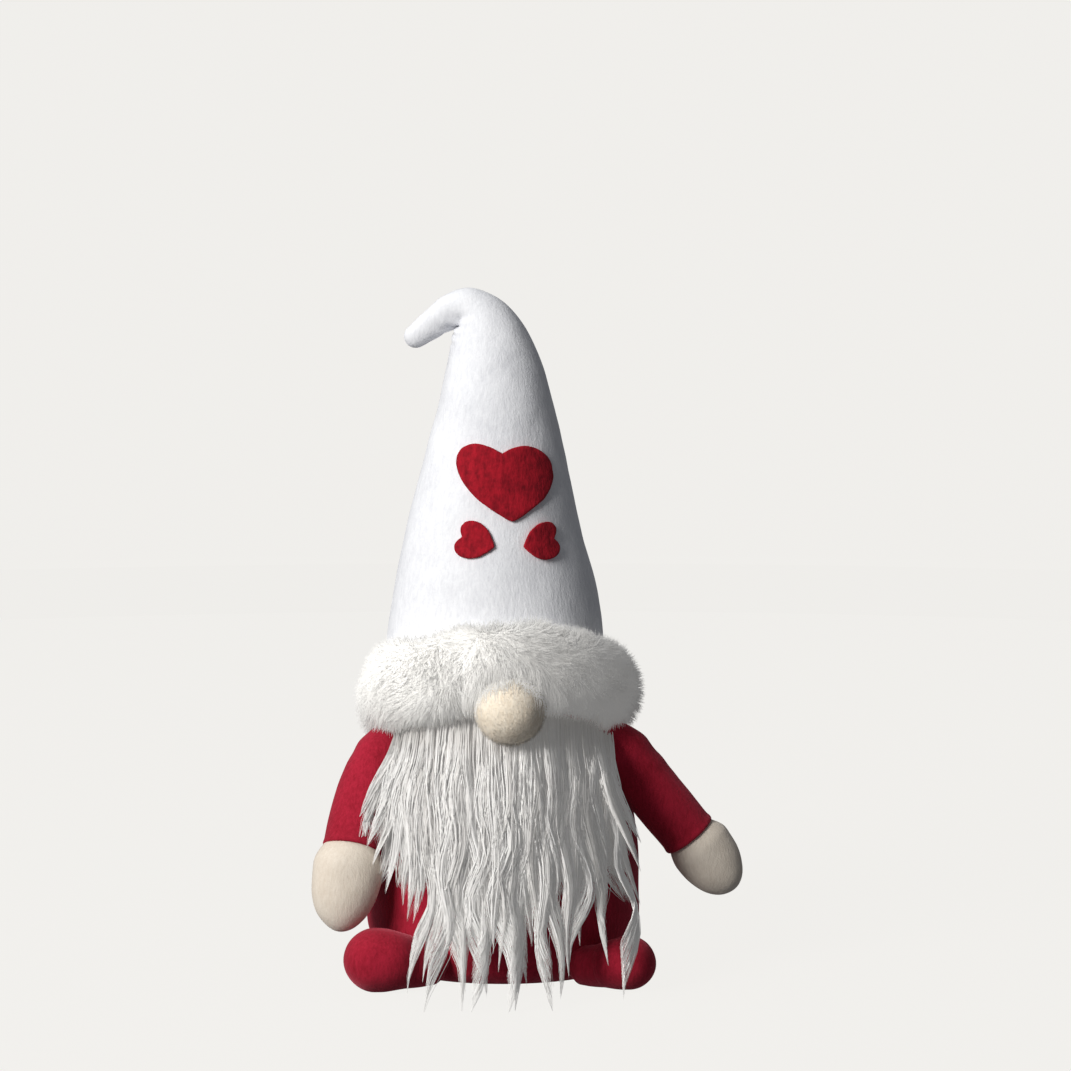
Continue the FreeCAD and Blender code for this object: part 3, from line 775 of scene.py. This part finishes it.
def make_hand(side, look):
    """A stuffed felt mitt, egg shaped, widest a little below the cuff."""
    arm = sleeve_path(side, 60)
    wrist = arm[-1]
    leaving = unit(arm[-1] - arm[-4])
    aim = unit(np.array(HAND_AIMS[side]))
    shares = np.concatenate([[-0.12, -0.06], np.sin(np.linspace(0, math.pi / 2 - 0.03, 44))])
    turn = smooth_step(0, 0.5, shares)[:, None]
    ways = unit(leaving * (1 - turn) + aim * turn)
    steps = np.diff(shares, prepend=shares[0])[:, None] * HAND_REACH[side] * MM
    path = wrist + np.cumsum(ways * steps, axis=0) + leaving * shares[0] * HAND_REACH[side] * MM
    fore = np.clip((shares - 0.26) / 0.74, 0, 1)
    half = np.where(shares < 0.26, 0.80 + 0.20 * np.sin(np.clip(shares / 0.26, -1, 1) * math.pi / 2),
                    np.sqrt(np.clip(1 - fore**2.3, 0.0004, 1))) * HAND_WIDE[side] * MM
    rings = tube_rings(path, half, half * 0.86, SIDEWAYS)
    away = unit(rings - path[:, None])
    angle = turn_angles(RING_COLUMNS)
    seam = np.exp(-(np.minimum(angle, FULL_TURN - angle) * HAND_WIDE[side] * MM / 0.0010) ** 2)
    seam = seam + np.exp(-((angle - math.pi) * HAND_WIDE[side] * MM / 0.0010) ** 2)
    amount = 0.9 * noise(rings, 0.017, 91) + 0.25 * noise(rings, 0.007, 92) - 0.35 * seam
    amount = amount * np.clip(half / (4 * MM), 0, 1)[:, None]
    rings = rings + away * (amount * MM)[..., None]
    hand = skin(f"{side}_hand_felt", rings)
    fill = stuffing(f"{side}_hand_fibre_fill", rings, 1.7 * MM, 3, -7)
    finish_stuffed(hand, fill, look, "mitt", f"{side}_arm",
                   f"{side}_hand_cover", f"{side}_hand_stuffing")


# ---- beard ----
BEARD_HALF = 0.066
BEARD_AXIS_Y = -0.018
CHIN_HALF = 0.046
BEARD_FRONT = [  # share of the beard's height, how far its front lies behind its foremost line, mm
    (0.0, 0.0), (0.12, 2.0), (0.3, 11.0), (0.5, 16.5), (0.72, 21.0), (0.88, 27.0), (1.0, 33.0)]


def beard_depth(x, z):
    """Y of the beard's outer face and of the sack behind it, at a place seen from the front."""
    rise = np.clip((z - BEARD_LOW[2]) / (BEARD_HIGH[2] - BEARD_LOW[2]), 0, 1)
    table = np.array(BEARD_FRONT)
    foremost = BEARD_LOW[1] + np.interp(rise, table[:, 0], table[:, 1]) * MM
    across = np.sqrt(np.clip(1 - (x / BEARD_HALF) ** 2, 0.05, 1))
    across = across + (1 - across) * 0.8 * smooth_step(0.4, 0.05, rise)
    outer = BEARD_AXIS_Y + (foremost - BEARD_AXIS_Y) * across
    half = body_half_width(np.clip(z, 0.004, BODY_HIGH[2]))
    sack = -BODY_HALF[1] * half * np.sqrt(np.clip(1 - (x / (BODY_HALF[0] * half)) ** 2, 0.02, 1))
    return outer, sack


def push_out(points, margin):
    """Moves points of hair out of the sack, feet, nose, right sleeve and floor."""
    half = body_half_width(np.clip(points[..., 2], 0.004, BODY_HIGH[2]))
    wide = BODY_HALF[0] * half + margin
    deep = BODY_HALF[1] * half + margin
    inside = np.sqrt((points[..., 0] / wide) ** 2 + (points[..., 1] / deep) ** 2)
    grow = np.where((inside < 1) & (points[..., 2] < BODY_HIGH[2]), 1 / np.maximum(inside, 0.2), 1)
    points[..., :2] *= grow[..., None]
    for side in ("right", "left"):
        outer, start, radius, middle_y = foot_shape(side)
        ends = sorted((start - outer * radius, start - outer * 2.6 * radius))
        line = np.clip(points[..., 0], *ends)
        core = np.stack([line, np.full_like(line, middle_y), np.full_like(line, radius)], -1)
        points = off_core(points, core, radius + margin)
    points = off_core(points, NOSE_CENTRE, NOSE_RADIUS + margin)
    for centre in sleeve_path("right", 12)[3:]:
        points = off_core(points, centre, SLEEVE_HALF * MM + margin)
    points[..., 2] = np.where(points[..., 2] < 0.001, 0.001 + 0.02 * (points[..., 2] - 0.001), points[..., 2])
    return points


def off_core(points, core, reach):
    apart = points - core
    far = np.linalg.norm(apart, axis=-1, keepdims=True)
    return np.where(far < reach, core + apart / np.maximum(far, 1e-6) * reach, points)


def beard_facing(points):
    """The way the beard's rounded front faces at each point."""
    return unit(np.stack([points[..., 0] / BEARD_HALF**2, (points[..., 1] - BEARD_AXIS_Y) / 0.052**2,
                          np.full(points.shape[:-1], 4.0)], -1))


def lock_paths(rng, roots, tips, depth, hairs, width, wave, steps=12, lie=0.0, hook=0.0):
    """Hair paths for locks, and the way each faces. A lock runs from a root to a tip given as
    (x, z) seen from the front; depth places it between the sack (0) and the outer face (1), lie is
    how far its tip runs forwards over the floor, and hook is how far it curls sideways."""
    count = len(roots)
    s = np.linspace(0, 1, steps)
    x = roots[:, :1] + (tips[:, :1] - roots[:, :1]) * s**1.2
    z = roots[:, 1:] + (tips[:, 1:] - roots[:, 1:]) * s
    turns = np.abs(roots[:, 1:] - tips[:, 1:]) / rng.uniform(0.045, 0.075, (count, 1))
    phase = rng.uniform(0, FULL_TURN, (count, 1))
    swing = wave[:, None] * np.sin(s * turns * FULL_TURN + phase) * smooth_step(0.05, 0.5, s)
    flow = 0.0040 * noise(np.stack([x, 0 * x, z * 0.4], -1), 0.024, 104) * smooth_step(0.1, 0.6, s)
    x = x + swing + flow + hook * smooth_step(0.72, 1.0, s) ** 1.5
    outer, sack = beard_depth(x, z)
    out = smooth_step(-0.15, 0.3, s) * depth[:, None]
    y = sack - 0.003 + (outer - sack) * out
    y = y + 0.5 * wave[:, None] * np.cos(s * turns * FULL_TURN + phase * 1.7) * s
    y = y - lie * smooth_step(0.82, 1.0, s)
    middle = np.stack([x, y, z], -1)
    spread = rng.normal(size=(count, hairs, 1, 3)) * [1.0, 0.6, 0.2]
    clump = (1 - 0.2 * s - 0.45 * s**3 - 0.3 * s**8)[None, None, :, None]
    paths = middle[:, None] + spread * width[:, None, None, None] * clump
    frizz = rng.normal(size=(count, hairs, 1, 3)) * [0.7, 0.4, 0.1] * MM
    ripple = np.sin(s * 8 + rng.uniform(0, 6, (count, hairs, 1)))[..., None]
    paths = paths + frizz * ripple * s[:, None] * clump
    shorter = rng.uniform(0.80, 1.0, (count, hairs, 1, 1))
    paths = paths[:, :, :1] + (paths - paths[:, :, :1]) * (shorter + (1 - shorter) * (1 - s[:, None]))
    facing = unit(beard_facing(paths) + 0.75 * np.clip(spread, -1.6, 1.6) * [1.0, 0.3, 0])
    paths = push_out(paths.reshape(-1, steps, 3), 0.5 * MM)
    return paths, facing.reshape(-1, steps, 3)


def tip_line(across):
    """The outline of the beard's lower edge, for a root's place across the chin."""
    table = np.array([  # place across, tip x, lowest tip height, mm
        (-1.0, -58, 66), (-0.9, -50, 54), (-0.8, -42, 34), (-0.6, -33, 20), (-0.3, -16, 12), (0.0, 0, 8),
        (0.3, 16, 10), (0.55, 29, 16), (0.75, 41, 24), (0.9, 48, 32), (1.0, 51, 44)])
    x = np.interp(across, table[:, 0], table[:, 1])
    return np.stack([x, np.interp(across, table[:, 0], table[:, 2])], -1) * MM


def chin_top(across):
    """Height at which the beard goes in under the brim, for a place across the chin."""
    return 0.1235 - 0.017 * np.abs(across) ** 1.8


LOCK_LAYERS = [  # locks, hairs in each, mm the roots lie below the chin's top, mm the tips lie above
    # the tip line, depth between the sack and the outer face, mm wide, mm of wave
    (100, 28, (10, 45), (30, 52), (0.15, 0.5), 3.0, 0.7), (100, 28, (4, 30), (14, 46), (0.4, 0.75), 3.0, 0.9),
    (72, 40, (0, 14), (16, 44), (0.65, 0.9), 2.8, 1.2), (56, 51, (0, 8), (12, 42), (0.8, 1.0), 2.5, 1.5),
    (56, 51, (0, 6), (2, 36), (0.9, 1.05), 2.1, 1.9)]
LONG_LOCKS = [  # mm: tip x, tip height, width
    (-33, 4, 0.9), (-27, 10, 1.4), (-24.5, 0, 1.9), (-20, 7, 1.5), (-16.4, 0, 2.1), (-11, 12, 1.4),
    (-8.4, 0, 2.0), (-3, 4, 1.6), (2, -1, 2.5), (6.8, 0, 2.0), (12, 9, 1.6), (19.6, -1, 2.2),
    (23.3, 3, 1.7), (29, 12, 1.5), (37, 18, 1.4), (45, 16, 1.0), (58, 3, 0.4)]
SIDE_WISPS = [  # mm: root x, root height, tip x, tip height
    (-43, 108, -66, 62), (-42, 107, -62, 66), (-42, 104, -58, 60), (-44, 106, -63, 72), (-40, 102, -55, 52),
    (-43, 104, -60, 76), (-38, 100, -50, 42), (42, 104, 59, 62), (42, 106, 57, 50), (40, 102, 58, 36)]


def make_beard(look):
    rng = np.random.default_rng(101)
    pieces = []
    for number, (locks, hairs, below, above, deep, width, wave) in enumerate(LOCK_LAYERS):
        across = rng.uniform(-1, 1, locks)
        roots = np.stack([across * CHIN_HALF, chin_top(across) - rng.uniform(*below, locks) * MM], -1)
        tips = tip_line(across)
        tips[:, 1] += rng.uniform(*above, locks) * MM
        tips[:, 1] = np.minimum(tips[:, 1], roots[:, 1] - 0.030)
        tips[:, 0] += rng.normal(size=locks) * 2.5 * MM
        depth = rng.uniform(*deep, locks)
        widths = rng.uniform(0.7, 1.3, locks) * (1 - 0.55 * across**6) * width * MM
        waves = rng.uniform(0.4, 1.2, locks) * wave * MM
        paths, facing = lock_paths(rng, roots, tips, depth, hairs, widths, waves)
        # A lock's tint is a random tone, lowered for locks that lie deep towards the sack: painted shade
        # between the locks.
        tint = np.repeat(rng.uniform(0.45, 1.0, locks) * (0.65 + 0.35 * np.clip(depth, 0, 1)), hairs)
        pieces.append((f"beard_locks_{number}", paths, facing, tint))
    table = np.array(LONG_LOCKS) * MM
    across = np.clip(table[:, 0] / 0.056, -1, 1)
    roots = np.stack([across * CHIN_HALF, chin_top(across) - rng.uniform(0, 0.008, len(table))], -1)
    depth = rng.uniform(0.9, 1.0, len(table))
    waves = rng.uniform(2.0, 3.6, len(table)) * MM
    lie = np.where(table[:, 1:2] < 0.002, 0.010, 0.0)
    hook = rng.choice([-1, 1], (len(table), 1)) * rng.uniform(2.0, 5.0, (len(table), 1)) * MM
    paths, facing = lock_paths(rng, roots, table[:, :2], depth, 110, table[:, 2], waves, 18, lie, hook)
    pieces.append(("beard_long_locks", paths, facing, np.repeat(rng.uniform(0.6, 1.0, len(table)), 110)))
    table = np.array(SIDE_WISPS) * MM
    depth = rng.uniform(0.8, 1.1, len(table))
    widths = rng.uniform(0.9, 1.6, len(table)) * MM
    waves = rng.uniform(0.6, 1.6, len(table)) * MM
    paths, facing = lock_paths(rng, table[:, :2], table[:, 2:], depth, 50, widths, waves)
    pieces.append(("beard_side_wisps", paths, facing, np.repeat(rng.uniform(0.6, 1.0, len(table)), 50)))
    for name, paths, facing, tint in pieces:
        count, steps = paths.shape[:2]
        profile = np.interp(np.linspace(0, 1, steps), [0, 0.2, 0.75, 1], [0.20, 0.21, 0.15, 0.03]) * MM
        radii = profile * rng.uniform(0.7, 1.3, (count, 1))
        tint = np.clip(tint + rng.normal(size=count) * 0.11, 0, 1)
        hair = strand_piece(name, paths, radii, tint, facing, 0.86)
        finish_piece(hair, look["beard"])
        bend_beard(hair)
    make_undercoat(look)


def bend_beard(piece):
    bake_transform(piece)


def make_undercoat(look):
    """The dense short fibre between the backing cloth and the long locks, tinted darker as painted shade
    between the locks.
    """
    rows, columns = 70, 90
    s = np.linspace(0, 1, rows)
    across = np.linspace(-1, 1, columns)
    roots = np.stack([across * 0.043, chin_top(across) - 0.002], -1)
    tips = tip_line(across)
    tips[:, 0] *= 0.86
    tips[:, 1] = np.maximum(tips[:, 1] + 0.022, 0.048)
    x = roots[:, 0] + (tips[:, 0] - roots[:, 0]) * s[:, None] ** 1.25
    z = roots[:, 1] + (tips[:, 1] - roots[:, 1]) * s[:, None]
    outer, sack = beard_depth(x, z)
    ridges = (noise(np.stack([x * 8, 0 * x, z], -1), 0.022, 121)
              + 0.5 * noise(np.stack([x * 20, 0 * x, z], -1), 0.02, 122))
    front = sack - 0.0022 + (outer - sack) * 0.42 * smooth_step(0, 0.25, s)[:, None] + 0.0012 * ridges
    face = push_out(np.stack([x, front, z], -1), 0.0012)
    back = push_out(np.stack([x, np.minimum(sack - 0.0012, 0), z], -1), 0.0004)
    loops = np.concatenate([face, back[:, ::-1]], 1)
    coat = skin("beard_undercoat", loops[::-1])
    # Painted shade: a low tint and a colour close to the root colour make the undercoat darker, as shade
    # between the locks.
    tint_surface(coat, 0.35, 0.12)
    finish_piece(coat, look["beard"], None, ("beard_pile",))
    bend_beard(coat)


# ---- CAD nodes that stay ----
def dress_cad_nodes(look):
    kept = {"base_panel": "fleece", "base_card": "card", "weight_bag": "pouch", "weight_pellets": "pellets",
            "nose_button": "nose", "brim_backing": "knit", "beard_backing": "knit",
            "right_shoulder_tab": "fleece", "left_shoulder_tab": "fleece"}
    for node, material in kept.items():
        thing = frame["nodes"][node]
        for spot in thing.material_slots:
            spot.link = "OBJECT"
            spot.material = look[material]


# ---- stage, light and camera ----
def make_stage():
    """A round pale studio floor that curves up into a wall all round."""
    bend = np.linspace(0, math.pi / 2, 14)
    radii = np.concatenate([[0.02, 0.3, 1.0, 2.0], 2.0 + 0.6 * np.sin(bend)])
    heights = np.concatenate([[0, 0, 0, 0], 0.6 * (1 - np.cos(bend))])
    radii = np.append(radii, 2.6)
    heights = np.append(heights, 3.0)
    angle = turn_angles(96)
    rings = np.stack([radii[:, None] * np.cos(angle), radii[:, None] * np.sin(angle),
                      np.repeat(heights[:, None], 96, 1)], -1)
    points = np.vstack([rings.reshape(-1, 3), [[0, 0, 0]]])
    fan = np.stack([np.arange(96), (np.arange(96) + 1) % 96, np.full(96, len(points) - 1)], -1)
    floor = mesh_object("studio_floor", points, grid_faces(*rings.shape[:2]), fan)
    shader = Shader("studio_paper", Roughness=1.0, Specular_IOR_Level=0.0)
    tone = shader.ramp(shader.noise(1.5, 2), [(0.3, (0.022, 0.022, 0.021)), (0.7, (0.026, 0.026, 0.025))])
    shader.colour(tone)
    shader.surface.inputs["Emission Color"].default_value = (1.0, 0.985, 0.955, 1)
    shader.surface.inputs["Emission Strength"].default_value = 0.865
    floor.data.materials.append(shader.material)
    floor.visible_diffuse = False
    floor.visible_glossy = False


def add_light(name, place, aim, power, size, colour):
    lamp = bpy.data.lights.new(name, "AREA")
    lamp.energy = power
    lamp.size = size
    lamp.color = colour
    thing = bpy.data.objects.new(name, lamp)
    thing.location = place
    thing.rotation_euler = (Vector(aim) - Vector(place)).to_track_quat("-Z", "Y").to_euler()
    bpy.context.scene.collection.objects.link(thing)


def make_light():
    world = bpy.data.worlds.new("studio")
    world.use_nodes = True
    world.node_tree.nodes["Background"].inputs[0].default_value = (0.93, 0.95, 1.0, 1)
    world.node_tree.nodes["Background"].inputs[1].default_value = 0.13
    bpy.context.scene.world = world
    add_light("key", (-1.10, -1.20, 0.95), (0, 0, 0.15), 34.5, 0.8, (1.0, 0.985, 0.96))
    add_light("top", (-0.5, 0.3, 1.5), (0, 0, 0.15), 5, 1.0, (0.95, 0.97, 1.0))


def make_camera():
    target = np.array([0.0142, 0.0, 0.1913])
    distance = 1.353
    lift = math.radians(4.6)
    lens = bpy.data.cameras.new("camera")
    lens.lens = 103.28
    lens.sensor_width = 36
    lens.clip_start = 0.01
    camera = bpy.data.objects.new("camera", lens)
    camera.location = target + distance * np.array([0, -math.cos(lift), math.sin(lift)])
    camera.rotation_euler = (math.pi / 2 - lift, 0, 0)
    bpy.context.scene.collection.objects.link(camera)
    bpy.context.scene.camera = camera


def main():
    bpy.context.scene.view_settings.view_transform = "Standard"
    look = make_materials()
    make_camera()
    make_light()
    make_stage()
    dress_cad_nodes(look)
    hat = make_hat(look)
    hat_tree = BVHTree.FromObject(hat, bpy.context.evaluated_depsgraph_get())
    make_heart("heart_large", -3, hat_tree, look, 1.25, 0.16)
    make_heart("heart_small_right", 72, hat_tree, look, 1.1, fit=0.92)
    make_heart("heart_small_left", -78, hat_tree, look, 1.1, fit=0.92)
    make_brim(look)
    make_nose(look)
    make_fringe(look)
    make_body(look)
    for side in ("right", "left"):
        make_foot(side, look)
        make_sleeve(side, look)
        make_hand(side, look)
    make_beard(look)


main()
